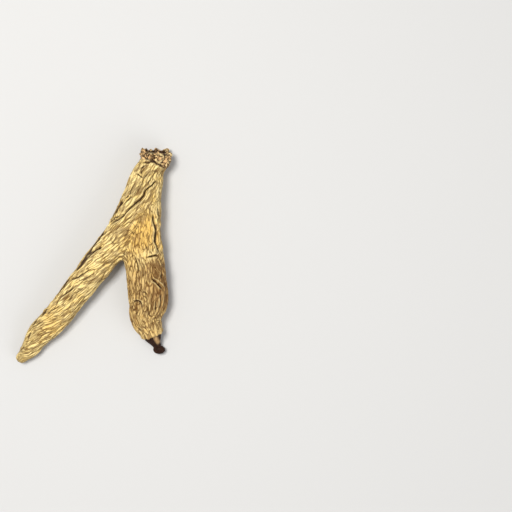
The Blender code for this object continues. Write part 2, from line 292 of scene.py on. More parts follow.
@dataclass(frozen=True)
class Limb:
    """A tapering length of root.

    Attributes:
        stations: x, y, height of the axis, half width and half height, down the limb.
        wrinkles: The layers of wrinkles on its skin.
        hollow: Rings past its open end: distance along and share of its radius.
        twist: How far the wrinkles wind round it, for each unit down it.
        growth: Their share of the depth down the limb: distance, share.
        seed: Which noise its wrinkles come from.
    """

    stations: Rows
    wrinkles: tuple[Wrinkle, ...] = ()
    hollow: Rows = ()
    twist: float = 0.0
    growth: Rows = ((0.0, 1.0),)
    seed: int = SEED

    SIDES = 32
    WRINKLE_RADIUS = 6.5
    WAVES = ((0.9, 11.0), (0.4, 3.4), (0.15, 1.5))
    SHARPNESS = 1.3
    FADE = (-0.7, 0.25)
    FADE_STRETCH = (0.7, 2, 2)
    LEAST_FADE = 0.05
    VALUE_REACH = 3
    VALUE_SEED = 10
    FADE_SEED = 20

    def section(self, row: Array, along: Vector) -> Matrix:
        """Take a unit circle to the limb's section.

        Args:
            row: x, y, height, half width and half height there.
            along: The axis's direction there.

        Returns:
            The matrix that places the circle.
        """
        side = along.cross(Vector((0, 0, 1))).normalized()
        up = side.cross(along)
        matrix = Matrix((side * row[3], up * row[4], along)).transposed().to_4x4()
        matrix.translation = Vector(row[:3])
        return matrix

    def sections(self) -> list[Matrix]:
        """Place every ring of the limb, those of its hollow end included.

        Returns:
            What takes a unit circle to each ring.
        """
        rows = smooth_rows(self.stations)
        ways = [Vector(way[:3]).normalized() for way in np.gradient(rows, axis=0)]
        matrices = [self.section(row, way) for row, way in zip(rows, ways)]
        for past, share in self.hollow:
            row = rows[-1].copy()
            row[:3] += past * np.array(ways[-1])
            row[3:] *= share
            matrices.append(self.section(row, ways[-1]))
        return matrices

    def build(self, bm: BMesh) -> None:
        """Extrude the limb as a closed tube.

        Args:
            bm: The mesh that it joins.
        """
        matrices = self.sections()
        ring = bmesh.ops.create_circle(bm, segments=self.SIDES, radius=1.0)["verts"]
        edges = list({edge for vert in ring for edge in vert.link_edges})
        bmesh.ops.transform(bm, matrix=matrices[0], verts=ring)
        bmesh.ops.contextual_create(bm, geom=edges)
        for last, matrix in zip(matrices, matrices[1:]):
            made = bmesh.ops.extrude_edge_only(bm, edges=edges)["geom"]
            ring = [item for item in made if isinstance(item, BMVert)]
            edges = [item for item in made if isinstance(item, BMEdge)]
            bmesh.ops.transform(bm, matrix=matrix @ last.inverted(), verts=ring)
        bmesh.ops.contextual_create(bm, geom=edges)

    def skin(self, points: Array) -> Skin:
        """Find where points lie on this limb.

        Args:
            points: Points of the skin.

        Returns:
            Their places along and round the limb.
        """
        rows = smooth_rows(self.stations)
        ways = np.gradient(rows[:, :3], axis=0)
        gap, near, run = nearest(points, np.hstack([rows, ways]))
        way = near[:, 5:] / np.linalg.norm(near[:, 5:], axis=1)[:, None]
        side = np.cross(way, (0.0, 0.0, 1.0))
        side /= np.linalg.norm(side, axis=1)[:, None]
        up = np.cross(side, way)
        off = points - near[:, :3]
        across = (off * side).sum(axis=1) / near[:, 3]
        high = (off * up).sum(axis=1) / near[:, 4]
        radius = np.sqrt(near[:, 3] * near[:, 4])
        return Skin(gap / radius, run, np.arctan2(high, across), radius)

    def furrows(self, skin: Skin) -> tuple[Array, Array, Array]:
        """Measure the wrinkles: narrow furrows that branch, wave and fade.

        Args:
            skin: Where the points lie on this limb.

        Returns:
            The depth at each point, each layer's value there, 0 on the floor of a furrow, and the
            waved places that the wrinkles follow.
        """
        width = np.sqrt(skin.radius * self.WRINKLE_RADIUS)
        flat = skin.unrolled(width)
        wave = self.twist * skin.run
        for number, (height, size) in enumerate(self.WAVES):
            wave += height * noise(flat / size, self.seed + number)
        places = skin.unrolled(width, wave)
        grown = np.interp(skin.run, *np.transpose(self.growth))
        depth = np.zeros(len(places))
        values = np.ones((len(places), 3))
        for index, layer in enumerate(self.wrinkles):
            sizes = np.array((layer.length, layer.size, layer.size))
            value = noise(places / sizes, self.seed + self.VALUE_SEED + index)
            spread = places / (sizes * self.FADE_STRETCH)
            fade = eased(*self.FADE, noise(spread, self.seed + self.FADE_SEED + index)) * grown
            value /= layer.share * np.maximum(fade, self.LEAST_FADE)
            values[:, index] = np.clip(value, -self.VALUE_REACH, self.VALUE_REACH)
            furrow = np.clip(1 - np.abs(values[:, index]), 0, 1) ** self.SHARPNESS
            depth += layer.depth * fade * furrow
        return depth, values, places


@dataclass(frozen=True)
class Fold:
    """A named fold or crack in the upper skin.

    Attributes:
        depth: How deep its furrow is.
        width: Half of the furrow's width.
        line: Points x, y that it runs through.
        shade_tone: How dark the shade painted on its floor is, or 0 where that follows from its depth.
    """

    depth: float
    width: float
    line: Rows
    shade_tone: float = 0.0

    FADE = 2.0
    END_SHARE = 0.35
    # LIP and LIP_PLACE shape the raised lip beside a fold, and set where its painted highlight goes.
    LIP = 0.3
    LIP_PLACE = 1.7
    REACH = 2.5
    TONE = 0.8
    SHADE = 0.85

    def measure(self, points: Array) -> Array:
        """Measure the fold at each point.

        Args:
            points: Points x, y of the skin.

        Returns:
            Its depth, and how dark the shade painted on its floor is, both less than 0 on its raised
            lips, where a highlight is painted.
        """
        line = smooth_rows(self.line)
        low, high = line.min(axis=0) - self.REACH, line.max(axis=0) + self.REACH
        near = np.flatnonzero(((points > low) & (points < high)).all(axis=1))
        gap, _, run = nearest(points[near], line)
        length = np.linalg.norm(np.diff(line, axis=0), axis=1).sum()
        fade = eased(0, self.FADE, run) * eased(0, self.FADE, length - run)
        lip = self.LIP * dip(gap - self.LIP_PLACE * self.width, self.width)
        depth = self.depth * (self.END_SHARE + (1 - self.END_SHARE) * fade)
        # How dark the painted shade along the fold's floor is.
        shade_tone = (self.shade_tone or min(1.0, self.depth) ** self.TONE) * np.sqrt(fade)
        measured = np.zeros((2, len(points)))
        measured[0, near] = depth * (dip(gap, self.width) - lip)
        measured[1, near] = shade_tone * (dip(gap, self.SHADE * self.width) - lip)
        return measured


@dataclass(frozen=True)
class Scar:
    """A round scar that a rootlet left: a ring, or a plain pit where its radius is 0."""

    x: float
    y: float
    radius: float
    depth: float
    width: float

    TONE = 0.5

    def measure(self, points: Array) -> Array:
        """Measure the scar at each point.

        Args:
            points: Points x, y of the skin.

        Returns:
            Its depth and how dark it is.
        """
        gap = np.hypot(points[:, 0] - self.x, points[:, 1] - self.y)
        profile = dip(gap - self.radius, self.width)
        return np.stack([self.depth * profile, self.TONE * profile**2])


@dataclass(frozen=True)
class Knob:
    """A small round lump at a place, with its radius and stretch."""

    place: Triple
    radius: float
    stretch: Triple = (1.0, 1.0, 1.0)

    def build(self, bm: BMesh) -> None:
        """Add the lump to a mesh."""
        matrix = Matrix.Translation(self.place) @ Matrix.Diagonal((*self.stretch, 1))
        bmesh.ops.create_icosphere(bm, subdivisions=2, radius=self.radius, matrix=matrix)


@dataclass(frozen=True)
class KnobRing:
    """Lumps of uneven size round one section of a limb.

    Attributes:
        count: How many there are.
        share: How far out they stand, as a share of the section.
        radii: The least and the greatest radius.
    """

    count: int
    share: float
    radii: Pair

    TURN = 0.3
    REACH = (0.92, 1.06)
    SHIFT = 0.9

    def build(self, bm: BMesh, section: Matrix, rng: np.random.Generator) -> None:
        """Add the lumps to a mesh.

        Args:
            bm: The mesh that they join.
            section: The section that they stand round.
            rng: Where their uneven sizes come from.
        """
        along = section.to_3x3().col[2]
        for i in range(self.count):
            turn = 2 * math.pi * (i + rng.uniform(-self.TURN, self.TURN)) / self.count
            out = self.share * rng.uniform(*self.REACH)
            shift = rng.uniform(-self.SHIFT, self.SHIFT)
            place = section @ Vector((out * math.cos(turn), out * math.sin(turn), 0)) + shift * along
            Knob(tuple(place), rng.uniform(*self.radii)).build(bm)


LONG_LIMB = Limb(
    stations=(
        (25.9, 43.0, 7.7, 6.7, 5.5), (25.6, 41.0, 7.3, 7.0, 5.9), (24.4, 37.8, 7.6, 5.8, 5.3),
        (23.1, 34.8, 8.0, 6.5, 6.0), (21.6, 30.0, 8.7, 7.4, 6.9), (19.4, 22.0, 9.4, 8.2, 7.6),
        (14.2, 12.2, 9.6, 7.7, 7.2), (7.7, 3.9, 9.2, 7.0, 6.5), (1.9, -3.3, 8.6, 6.5, 6.0),
        (-5.7, -12.8, 7.8, 6.1, 5.7), (-11.8, -20.7, 6.9, 5.9, 5.5), (-17.5, -27.3, 5.9, 5.9, 5.3),
        (-23.2, -32.9, 4.8, 5.3, 4.7), (-27.2, -38.6, 4.0, 4.2, 3.6), (-29.5, -41.3, 3.6, 3.3, 3.0),
        (-31.1, -43.0, 3.4, 2.6, 2.4),
    ),
    wrinkles=(
        Wrinkle(16.0, 3.3, 0.34, 0.34),
        Wrinkle(10.0, 1.8, 0.36, 0.25),
        Wrinkle(7.5, 1.2, 0.22, 0.28),
    ),
    twist=0.22,
)
SHORT_LIMB = Limb(
    stations=(
        (21.8, 29.0, 8.6, 5.6, 5.4), (21.6, 20.6, 9.2, 6.8, 6.6), (21.0, 10.7, 9.3, 7.2, 6.9),
        (20.9, 1.5, 9.2, 8.0, 7.2), (21.7, -7.0, 8.9, 8.4, 7.4), (22.6, -14.5, 8.4, 8.5, 7.3),
        (22.6, -20.0, 7.7, 8.5, 7.2), (21.9, -24.6, 6.9, 7.6, 6.6), (22.2, -28.0, 6.4, 6.7, 5.7),
        (23.3, -30.8, 6.1, 5.5, 4.9), (23.9, -32.4, 5.8, 4.8, 4.6),
    ),
    wrinkles=(
        Wrinkle(12.0, 3.3, 0.42, 0.40),
        Wrinkle(7.0, 1.5, 0.34, 0.25),
        Wrinkle(5.5, 1.0, 0.2, 0.25),
    ),
    hollow=((0.9, 1.04), (1.6, 0.92), (1.7, 0.70), (0.8, 0.50), (-0.8, 0.28)),
    growth=((16.0, 0.35), (31.0, 1.0), (55.0, 1.0), (60.0, 0.4)),
    seed=SEED + 100,
)
WEB = Limb(
    stations=(
        (20.0, 20.0, 9.3, 4.0, 6.4), (17.2, 10.5, 9.3, 5.4, 6.3), (13.8, 2.6, 9.0, 5.6, 5.9),
        (11.6, -1.6, 8.8, 2.6, 3.6),
    ),
)
STUB = Limb(
    stations=(
        (23.9, -30.6, 6.0, 3.8, 3.2), (24.2, -33.4, 5.6, 3.9, 3.0), (24.9, -35.3, 4.9, 3.3, 2.5),
        (25.5, -36.8, 4.3, 2.4, 1.9), (26.2, -38.4, 3.7, 1.7, 1.4), (27.0, -39.9, 3.2, 1.5, 1.2),
    ),
)
TRUNK_FOLDS = (
    Fold(1.2, 0.5, ((27.7, 31.4), (25.7, 30.1), (23.7, 28.2), (22.5, 26.7), (21.9, 25.3), (20.7, 23.6),
         (19.0, 22.1), (16.8, 20.5), (15.6, 19.5), (14.0, 17.8), (12.1, 16.0), (10.4, 15.0), (8.8, 14.0),
         (7.3, 12.7))),
    Fold(0.6, 0.4, ((20.9, 32.3), (19.8, 30.0), (18.9, 28.1), (17.6, 25.7), (16.2, 24.0))),
    Fold(1.2, 0.55, ((17.2, 25.2), (15.5, 23.8), (13.7, 22.3), (11.6, 20.5))),
    Fold(0.9, 0.45, ((15.2, 25.7), (13.7, 24.0), (12.2, 22.3), (10.9, 20.3))),
    Fold(0.8, 0.45, ((17.6, 30.9), (16.4, 28.5), (15.3, 26.3), (14.6, 24.2))),
    Fold(0.7, 0.4, ((23.2, 35.5), (21.6, 32.1), (20.4, 29.2), (18.6, 25.8))),
    Fold(0.9, 0.45, ((11.6, 17.3), (9.5, 16.0), (8.0, 14.7), (6.2, 13.3), (5.0, 12.0), (3.8, 10.4))),
    Fold(0.9, 0.45, ((6.0, 10.2), (4.5, 9.1), (3.5, 8.1), (1.8, 6.2))),
    Fold(1.2, 0.5, ((4.4, 4.0), (2.5, 3.0), (0.4, 2.0), (-1.4, -0.1), (-3.6, -2.3))),
    Fold(0.5, 0.35, ((15.5, 11.2), (13.5, 10.1), (11.4, 8.5), (8.9, 6.0), (7.2, 4.3))),
    Fold(0.5, 0.35, ((18.0, 16.3), (15.1, 14.9), (12.2, 12.6), (9.3, 9.7))),
    Fold(0.5, 0.35, ((16.3, 7.7), (14.7, 8.5), (12.6, 7.4), (10.5, 5.2))),
    Fold(0.5, 0.35, ((17.5, 3.9), (16.0, 5.8), (14.2, 5.8), (12.1, 3.9), (10.0, 1.4))),
    Fold(1.3, 0.6, ((25.5, 17.2), (26.0, 14.0), (26.7, 9.9), (26.5, 6.4), (27.5, 3.3), (28.5, 1.2))),
    Fold(0.9, 0.45, ((27.3, 20.6), (27.5, 16.8), (27.6, 13.1), (28.0, 9.4), (28.3, 6.5))),
    Fold(0.7, 0.4, ((22.0, 6.4), (22.5, 4.5), (23.1, 3.0), (23.7, 1.4))),
    Fold(0.6, 0.35, ((22.5, 17.8), (23.2, 17.1), (23.7, 16.7))),
    Fold(0.6, 0.4, ((27.0, 36.5), (26.0, 34.3), (24.1, 31.3), (22.9, 28.8))),
)
NECK_FOLDS = (
    Fold(0.8, 0.4, ((22.4, 38.6), (21.2, 37.5), (20.0, 36.0)), 1.0),
    Fold(0.8, 0.38, ((21.3, 36.6), (20.5, 35.1), (19.9, 33.4)), 1.0),
    Fold(0.9, 0.4, ((17.5, 33.8), (18.8, 34.0), (20.3, 33.0), (21.8, 32.3)), 1.0),
    Fold(0.8, 0.38, ((19.7, 37.5), (18.7, 36.0), (17.9, 34.7)), 1.0),
    Fold(0.9, 0.45, ((19.8, 39.5), (22.7, 39.1), (25.6, 39.3), (26.9, 38.3), (28.5, 37.5), (30.2, 36.8)),
         1.0),
)
LONG_LEG_FOLDS = (
    Fold(0.9, 0.42, ((-0.9, -5.6), (-2.4, -6.7), (-4.3, -7.7), (-6.3, -9.0), (-8.5, -9.9),
         (-9.9, -11.3))),
    Fold(0.6, 0.38, ((1.2, -7.3), (-1.4, -8.8), (-3.8, -10.5), (-5.6, -12.3))),
    Fold(0.8, 0.4, ((-7.5, -12.7), (-9.1, -14.0), (-12.0, -16.1), (-14.2, -18.2), (-16.3, -21.0))),
    Fold(0.6, 0.38, ((-3.5, -13.5), (-5.3, -15.1), (-7.7, -16.1), (-9.9, -18.9), (-12.0, -20.4))),
    Fold(0.7, 0.38, ((-13.4, -20.6), (-15.6, -22.0), (-17.8, -23.1), (-20.7, -25.5))),
    Fold(1.0, 0.45, ((-14.7, -16.5), (-16.9, -18.8), (-19.1, -21.0), (-21.2, -23.9), (-23.2, -26.2))),
    Fold(0.6, 0.38, ((-14.2, -25.5), (-15.9, -26.7), (-17.6, -27.2), (-19.8, -28.7))),
    Fold(0.6, 0.38, ((-9.0, -26.6), (-10.6, -28.5), (-11.9, -30.5), (-13.6, -32.2))),
    Fold(0.7, 0.4, ((-20.7, -27.3), (-23.1, -28.3), (-25.7, -30.2))),
    Fold(0.9, 0.42, ((-26.3, -31.8), (-27.1, -33.0), (-27.8, -34.5), (-28.6, -36.0))),
    Fold(0.6, 0.38, ((-25.2, -34.6), (-26.7, -36.2), (-28.4, -37.7), (-29.6, -38.8))),
    Fold(1.1, 0.5, ((-30.6, -39.3), (-31.6, -40.2), (-33.0, -41.3), (-33.6, -42.4))),
    Fold(0.9, 0.42, ((-6.6, -2.7), (-8.4, -4.6), (-10.1, -6.7), (-11.8, -9.0))),
    Fold(0.5, 0.35, ((7.4, -2.7), (4.9, -3.9), (2.8, -6.2), (0.7, -8.5))),
    Fold(0.5, 0.35, ((-3.0, -18.2), (-5.0, -19.8), (-7.2, -22.4), (-8.5, -24.0))),
)
SHORT_LEG_FOLDS = (
    Fold(0.8, 0.42, ((17.1, 0.0), (18.2, -1.9), (18.8, -3.5), (19.1, -5.2), (19.2, -7.0))),
    Fold(1.3, 0.48, ((22.3, -0.9), (23.8, -0.6), (25.4, -0.2), (26.9, 0.0), (28.3, -0.6))),
    Fold(0.7, 0.4, ((28.3, -1.5), (29.1, -3.3), (30.0, -5.6))),
    Fold(1.3, 0.5, ((24.4, -9.1), (25.8, -10.4), (27.4, -11.8), (28.9, -13.3), (29.7, -14.2))),
    Fold(0.7, 0.38, ((19.7, -15.8), (21.2, -15.4), (22.9, -16.2), (23.7, -17.2))),
    Fold(0.7, 0.38, ((20.2, -16.9), (21.6, -17.0), (22.7, -18.0), (23.3, -19.3))),
    Fold(0.9, 0.4, ((16.3, -20.4), (17.1, -19.4), (18.4, -19.0), (19.8, -19.4), (20.4, -20.8),
         (20.2, -22.2))),
    Fold(0.8, 0.38, ((17.5, -21.7), (18.0, -20.7), (19.0, -20.5))),
    Fold(0.8, 0.4, ((16.9, -24.3), (18.3, -24.1), (19.6, -23.3))),
    Fold(0.8, 0.4, ((27.1, -18.1), (26.8, -20.1), (26.6, -22.4), (27.0, -24.4))),
    Fold(0.6, 0.38, ((22.4, -19.7), (23.0, -21.8), (23.4, -24.3), (23.9, -26.4))),
    Fold(0.8, 0.42, ((29.1, -6.0), (28.8, -8.1), (29.3, -10.2))),
    Fold(0.8, 0.42, ((28.9, -15.2), (28.5, -17.7), (28.7, -20.2), (28.3, -22.7))),
    Fold(0.6, 0.38, ((20.9, -2.7), (21.5, -5.2), (21.3, -8.1), (21.9, -10.6))),
    Fold(0.9, 0.42, ((18.4, -29.7), (19.5, -31.4), (20.7, -32.5))),
    Fold(0.8, 0.4, ((22.6, -32.6), (23.5, -31.8), (24.8, -31.4), (26.0, -32.0))),
    Fold(0.8, 0.38, ((27.1, -33.3), (27.1, -32.2), (28.0, -31.7), (28.8, -32.3))),
)
# Folds that are almost only painted shade: dark lines, barely carved, just inside the left outline, along
# the crown's far rim and in two arcs on the trunk.
SHADE_LINE_FOLDS = (
    Fold(0.15, 0.75, ((12.6, 23.3), (10.5, 20.0), (8.4, 16.6), (7.1, 14.9)), 1.0),
    Fold(0.15, 0.75, ((7.1, 14.9), (5.0, 12.0), (2.9, 8.2), (1.9, 6.5), (0.4, 4.8), (-1.1, 1.5),
         (-2.7, -0.2), (-4.6, -3.6), (-6.3, -5.3), (-7.6, -6.9)), 1.0),
    Fold(0.15, 0.75, ((-9.7, -9.0), (-11.8, -12.0), (-13.0, -13.7), (-14.7, -15.3), (-16.0, -17.0)), 0.9),
    Fold(0.15, 0.5, ((-19.2, -20.6), (-21.4, -23.6), (-23.3, -25.3), (-25.2, -28.0), (-27.0, -30.6)),
         0.7),
    Fold(0.15, 0.8, ((26.2, 44.2), (28.3, 44.0), (29.8, 43.4), (31.6, 42.0)), 1.0),
    Fold(0.1, 0.5, ((13.8, 9.0), (15.3, 10.6), (16.8, 9.6), (18.0, 7.2)), 0.55),
    Fold(0.1, 0.5, ((12.8, 12.2), (15.0, 13.6), (17.2, 13.0), (19.3, 10.0)), 0.5),
)
SCARS = (
    Scar(18.1, -21.4, 2.0, 0.5, 0.45),
    Scar(24.9, 41.0, 0.9, 1.3, 0.45),
    Scar(-31.0, -44.0, 0.0, 0.5, 0.6),
    Scar(22.3, 17.9, 0.0, 0.5, 0.45),
    Scar(19.3, 12.0, 0.0, 0.4, 0.35),
)


@dataclass
class RootSkin:
    """The whole root: crown, trunk, long leg, short leg and rootlet stub, as one skin."""

    long_limb: Limb = LONG_LIMB
    short_limb: Limb = SHORT_LIMB
    web: Limb = WEB
    stub: Limb = STUB
    stub_knob: Knob = Knob((27.0, -40.1, 3.15), 1.95, (1.4, 1.0, 0.95))
    tip_knob: Knob = Knob((-31.4, -43.2, 3.3), 2.6, (1.0, 1.0, 0.95))
    collar_ring: KnobRing = KnobRing(15, 0.88, (1.1, 1.7))
    rim_ring: KnobRing = KnobRing(11, 0.84, (0.9, 1.3))
    lip_ring: KnobRing = KnobRing(9, 0.88, (0.7, 1.1))
    crown_hollow: Rows = ((0.5, 1.0), (1.0, 0.86), (0.9, 0.72), (-0.2, 0.58), (-1.6, 0.34))
    folds: tuple[Fold, ...] = (
        *TRUNK_FOLDS, *NECK_FOLDS, *LONG_LEG_FOLDS, *SHORT_LEG_FOLDS, *SHADE_LINE_FOLDS,
    )
    scars: tuple[Scar, ...] = SCARS
    mark_level: float = 0.05
    fold_facing: Pair = (-0.25, 0.1)
    shade_facing: Pair = (0.1, 0.5)
    # x, y, radius and strength of the patches; those below 0 are dull, and those at x 30 paint shade on
    # the short leg's right flank.
    patches: Rows = (
        (20.5, 6.5, 9.5, 0.9), (24.0, 15.0, 5.0, 0.4), (-17.0, -29.0, 6.0, 0.6), (-26.0, -36.0, 5.0, 0.3),
        (24.0, 24.0, 4.0, 0.4), (30.0, -8.0, 7.0, -0.8), (30.0, -18.5, 6.5, -0.8),
        (25.0, -2.5, 5.0, -0.5), (16.5, -12.0, 6.0, -0.4), (19.0, -21.0, 3.0, -0.4),
    )
    tan_start: Pair = (18.0, 42.0)
    short_hair: Triple = (1.4, 0.9, 0.9)
    fold_wave: float = 0.35
    fold_wave_size: float = 2.4
    thin_limb: Pair = (1.0, 5.0)
    seam_sharpness: float = 16.0
    swell_size: float = 8.0
    swell_height: float = 0.55
    collar_end: Pair = (4.3, 5.7)
    collar_wrinkles: float = 0.3
    crag_size: float = 2.1
    crag_depth: float = 1.3
    crag_level: float = 0.3
    stub_reach: Pair = (4.0, 5.4)
    stub_start: Pair = (3.4, 4.0)
    # Where the stub's neck carries painted shadow, and where the painted highlight runs down its right
    # side.
    neck_start: Pair = (1.6, 2.6)
    neck_edge: Pair = (4.0, 4.5)
    highlight_sides: tuple[Pair, Pair] = ((0.3, 0.8), (1.7, 2.4))
    highlight_end: Pair = (6.8, 7.8)
    # Where the painted shade inside the hollow ends reaches.
    hollow_reaches: Pair = (4.6, 3.6)
    hollow_edge: float = 1.2
    hollow_start: Pair = (-1.5, 0.5)
    feet: Rows = ((27.0, 41.0), (-21.0, -32.0), (22.9, -23.0))
    foot_reach: float = 7.0
    foot_press: float = 0.32
    voxel: float = 0.21
    smooth_passes: int = 20
    web_passes: int = 66
    triangles: int = 190000
    web_reach: float = 8.5
    middle: Array = field(default_factory=lambda: np.zeros(3))

    def limbs(self) -> Mesh:
        """Build the limbs and lumps, each a closed form that overlaps the next.

        Returns:
            The mesh that holds them all.
        """
        rng = np.random.default_rng(SEED)
        bm = bmesh.new()
        crown = Limb(self.long_limb.stations[::-1], hollow=self.crown_hollow)
        for limb in (crown, self.short_limb, self.web, self.stub):
            limb.build(bm)
        self.stub_knob.build(bm)
        self.tip_knob.build(bm)
        sections = crown.sections()
        rim = len(sections) - len(self.crown_hollow)
        self.collar_ring.build(bm, sections[rim - STEPS_PER_GAP // 2], rng)
        self.rim_ring.build(bm, sections[rim], rng)
        self.lip_ring.build(bm, self.short_limb.sections()[-len(self.short_limb.hollow)], rng)
        bmesh.ops.recalc_face_normals(bm, faces=bm.faces)
        return finished_mesh("limbs", bm)

    def fuse(self, root: Object) -> None:
        """Grow the limbs together into one skin and smooth it."""
        modify(root, "REMESH", mode="VOXEL", voxel_size=self.voxel)
        modify(root, "SMOOTH", factor=SMOOTHING, iterations=self.smooth_passes)

    def thin(self, root: Object) -> None:
        """Take out faces where the skin is plain, and keep them in its furrows."""
        corners = sum(len(face.vertices) - 2 for face in root.data.polygons)
        modify(root, "DECIMATE", ratio=min(1.0, self.triangles / corners))

    def soften_web(self, mesh: Mesh) -> None:
        """Smooth the skin over the fork, where the limbs grew together.

        Args:
            mesh: The fused skin.
        """
        web = nearest(read_vectors(mesh.vertices, "co"), smooth_rows(self.web.stations))[0]
        bm = bmesh.new()
        bm.from_mesh(mesh)
        bm.verts.ensure_lookup_table()
        inside = [bm.verts[i] for i in np.flatnonzero(web < self.web_reach)]
        for _ in range(self.web_passes):
            bmesh.ops.smooth_vert(
                bm, verts=inside, factor=SMOOTHING, use_axis_x=True, use_axis_y=True, use_axis_z=True
            )
        bm.to_mesh(mesh)
        bm.free()

    def named_marks(self, points: Array, normals: Array) -> Array:
        """Measure the named folds and scars, which lie on the upper side.

        Args:
            points: Points of the skin.
            normals: The skin's normals there.

        Returns:
            The depth at each point, and how dark the mark's painted shade is there, both less than 0 on
            lips, where a highlight is painted.
        """
        warp = [noise(points / self.fold_wave_size, seed) for seed in WARP_SEEDS]
        places = points[:, :2] + self.fold_wave * np.stack(warp, axis=1)
        facing = np.stack([eased(*span, normals[:, 2]) for span in (self.fold_facing, self.shade_facing)])
        high, low = np.zeros((2, 2, len(points)))
        for mark in (*self.folds, *self.scars):
            measured = mark.measure(places)
            high, low = np.maximum(high, measured), np.minimum(low, measured)
        return np.where(high > self.mark_level, high, low) * facing

    def stub_line(self) -> Array:
        """Give the stub's line, from the hollow to its knob."""
        return np.array([row[:3] for row in self.stub.stations] + [self.stub_knob.place])

    def carving(self, points: Array, normals: Array) -> tuple[Array, dict[Mask, Array]]:
        """Measure swellings, wrinkles, folds and the craggy collar.

        Args:
            points: Points of the smooth skin.
            normals: The skin's normals there.

        Returns:
            How far each point moves along its normal, and what the finish reads there.
        """
        long_skin, short_skin = self.long_limb.skin(points), self.short_limb.skin(points)
        lean = self.seam_sharpness * (long_skin.share - short_skin.share)
        long_pull = 1 / (1 + np.exp(lean))
        long_depth, long_values, long_place = self.long_limb.furrows(long_skin)
        short_depth, short_values, short_place = self.short_limb.furrows(short_skin)
        wrinkles = long_pull * long_depth + (1 - long_pull) * short_depth
        values = long_pull[:, None] * long_values + (1 - long_pull[:, None]) * short_values
        collar = 1 - eased(*self.collar_end, long_skin.run)
        wrinkles *= 1 + (self.collar_wrinkles - 1) * collar
        crag = np.abs(noise(points / self.crag_size, CRAG_SEED))
        named, shade = self.named_marks(points, normals)
        swell = self.swell_height * noise(points / self.swell_size, SWELL_SEED)
        out = swell + self.crag_depth * (crag - self.crag_level) * collar
        out -= np.where(named > 0, np.maximum(wrinkles, named), wrinkles + named)
        bare = eased(*self.stub_reach, nearest(points, self.stub_line())[0])
        radius = long_pull * long_skin.radius + (1 - long_pull) * short_skin.radius
        fade = eased(*self.thin_limb, radius) * bare
        short_place = short_place * self.short_hair
        stub, highlight_strip = self.stub_masks(points)
        masks = {
            Mask.WRINKLES: values,
            Mask.FURROW: wrinkles * fade,
            Mask.FOLD_SHADE: shade * fade,
            Mask.CRAG: crag,
            Mask.COLLAR: collar,
            Mask.STUB: stub,
            Mask.HIGHLIGHT_STRIP: highlight_strip,
            Mask.HOLLOW_SHADE: self.hollow_shade_mask(points),
            Mask.SHORT: (1 - long_pull) * eased(*self.tan_start, short_skin.run),
            Mask.WARM_AND_SHADE: self.warm_and_shade_mask(points),
            Mask.PLACE: np.where(long_pull[:, None] > 0.5, long_place, short_place),
        }
        return out * fade, masks

    def stub_masks(self, points: Array) -> tuple[Array, Array]:
        """Find the rootlet stub, whose neck the finish darkens as painted shadow, and the painted
        highlight down the right of its neck.

        Args:
            points: Points of the smooth skin.

        Returns:
            1 on the stub and 0 elsewhere, and the same for the painted highlight.
        """
        gap, near, run = nearest(points, self.stub_line())
        # The neck by the leg's lip takes painted shadow; the band on its right takes a painted highlight.
        neck = eased(*self.neck_start, run) * (1 - eased(*self.neck_edge, gap))
        right = points[:, 0] - near[:, 0]
        near_side, far_side = (eased(*side, right) for side in self.highlight_sides)
        highlight_strip = near_side * (1 - far_side) * (1 - eased(*self.highlight_end, run))
        return np.maximum(neck, eased(*self.stub_start, run)), highlight_strip

    def warm_and_shade_mask(self, points: Array) -> Array:
        """Find the orange patches and the dull ones; the dull ones on the short leg's right flank are
        painted shade.

        Args:
            points: Points of the smooth skin.

        Returns:
            1 in the middle of an orange patch, -1 in that of a dull one and 0 outside them.
        """
        mask = np.zeros(len(points))
        for x, y, radius, strength in self.patches:
            mask += strength * dip(np.hypot(points[:, 0] - x, points[:, 1] - y), radius)
        return mask

    def hollow_shade_mask(self, points: Array) -> Array:
        """Find the skin inside the two hollow ends, which the finish darkens as painted shade.

        Args:
            points: Points of the smooth skin.

        Returns:
            1 inside a hollow and 0 outside it.
        """
        mask = np.zeros(len(points))
        ends = (self.long_limb.stations[1::-1], self.short_limb.stations[-2:])
        for stations, reach in zip(ends, self.hollow_reaches):
            before, end = np.array(stations)[:, :3]
            way = end - before
            way /= np.linalg.norm(way)
            off = points - end
            along = off @ way
            across = np.linalg.norm(off - along[:, None] * way, axis=1)
            inside = 1 - eased(reach - self.hollow_edge, reach, across)
            mask = np.maximum(mask, eased(*self.hollow_start, along) * inside)
        return mask

    def settle(self, points: Array) -> Array:
        """Lay the root on its three low spots and press them flat.

        Args:
            points: Points of the carved skin.

        Returns:
            The same points, lying on the floor.
        """
        lows = []
        for foot in self.feet:
            inside = points[np.hypot(*(points[:, :2] - foot).T) < self.foot_reach]
            lows.append(inside[inside[:, 2].argmin()])
        table = np.array(lows)
        slope = np.linalg.solve(np.hstack([table[:, :2], np.ones((3, 1))]), table[:, 2])
        points[:, 2] -= points[:, :2] @ slope[:2] + slope[2] + self.foot_press
        points[:, 2] = np.maximum(points[:, 2], 0.0)
        return points

    def fit(self, points: Array, low: Vector, high: Vector) -> Array:
        """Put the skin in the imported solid's own box.

        Args:
            points: Points of the settled skin, in millimetres.
            low: The box's lowest corner, in metres.
            high: The box's highest corner, in metres.

        Returns:
            The points in metres.
        """
        first, last = points.min(axis=0), points.max(axis=0)
        self.middle = (first + last) / 2
        share = (points - first) / (last - first)
        size = np.array(high) - np.array(low)
        log.info("fit: %s of the settled size", np.round(size / MM / (last - first), 4))
        return np.array(low) + share * size

